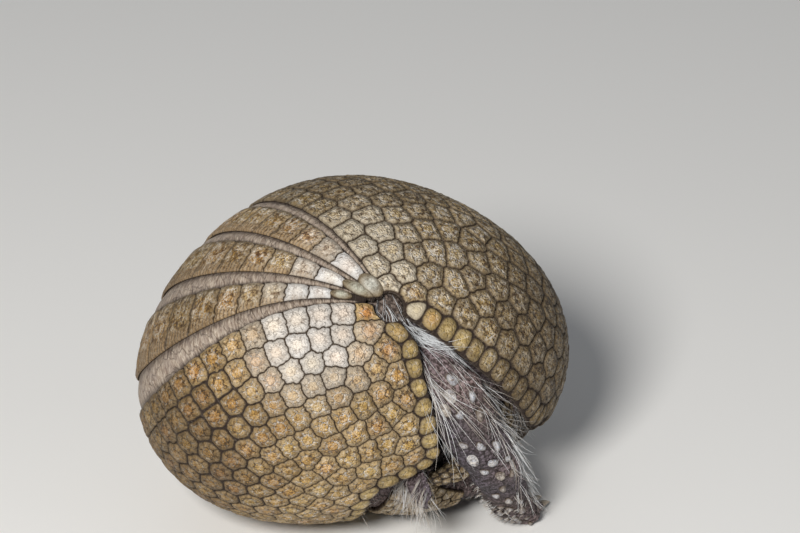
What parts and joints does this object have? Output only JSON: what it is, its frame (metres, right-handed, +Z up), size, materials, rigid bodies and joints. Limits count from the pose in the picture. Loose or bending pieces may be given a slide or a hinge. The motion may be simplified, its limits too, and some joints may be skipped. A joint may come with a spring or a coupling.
{
  "type": "three-banded armadillo figure",
  "caption": "Life-size southern three-banded armadillo, half curled up on its right flank, with shell, bands, head, tail and feet in the belly opening.",
  "frame": {"origin": "on the floor under the middle of the animal's box", "axes": "+Z up; +X towards the belly opening, along the longest side; -Y towards the side that the left flank faces"},
  "size_m": [0.1491, 0.1236, 0.1177],
  "materials": {
    "shell_horn": "satin horn scutes, ochre with pale rims and dark sutures",
    "bare_skin": "matte wrinkled skin with small pale scutes",
    "claw_horn": "worn horn",
    "eye": "wet gloss",
    "bristle_hair": "coarse pale bristles"
  },
  "bodies": {
    "root": {"scapular_shield": "shell_horn", "band_1": "shell_horn", "band_2": "shell_horn", "band_3": "shell_horn", "pelvic_shield": "shell_horn", "trunk": "bare_skin", "neck": "bare_skin", "head": "bare_skin", "head_shield": "shell_horn", "ear_left": "bare_skin", "ear_right": "bare_skin", "eye_left": "eye", "eye_right": "eye", "tail": "shell_horn", "foreleg_left": "bare_skin", "foreleg_right": "bare_skin", "hindleg_left": "bare_skin", "hindleg_right": "bare_skin", "claw_foreleg_left_1": "claw_horn", "claw_foreleg_left_2": "claw_horn", "claw_foreleg_left_3": "claw_horn", "claw_foreleg_left_4": "claw_horn", "claw_foreleg_right_1": "claw_horn", "claw_foreleg_right_2": "claw_horn", "claw_foreleg_right_3": "claw_horn", "claw_foreleg_right_4": "claw_horn", "nail_hindleg_left_1": "claw_horn", "nail_hindleg_left_2": "claw_horn", "nail_hindleg_left_3": "claw_horn", "nail_hindleg_left_4": "claw_horn", "nail_hindleg_left_5": "claw_horn", "nail_hindleg_right_1": "claw_horn", "nail_hindleg_right_2": "claw_horn", "nail_hindleg_right_3": "claw_horn", "nail_hindleg_right_4": "claw_horn", "nail_hindleg_right_5": "claw_horn"}
  },
  "joints": []
}
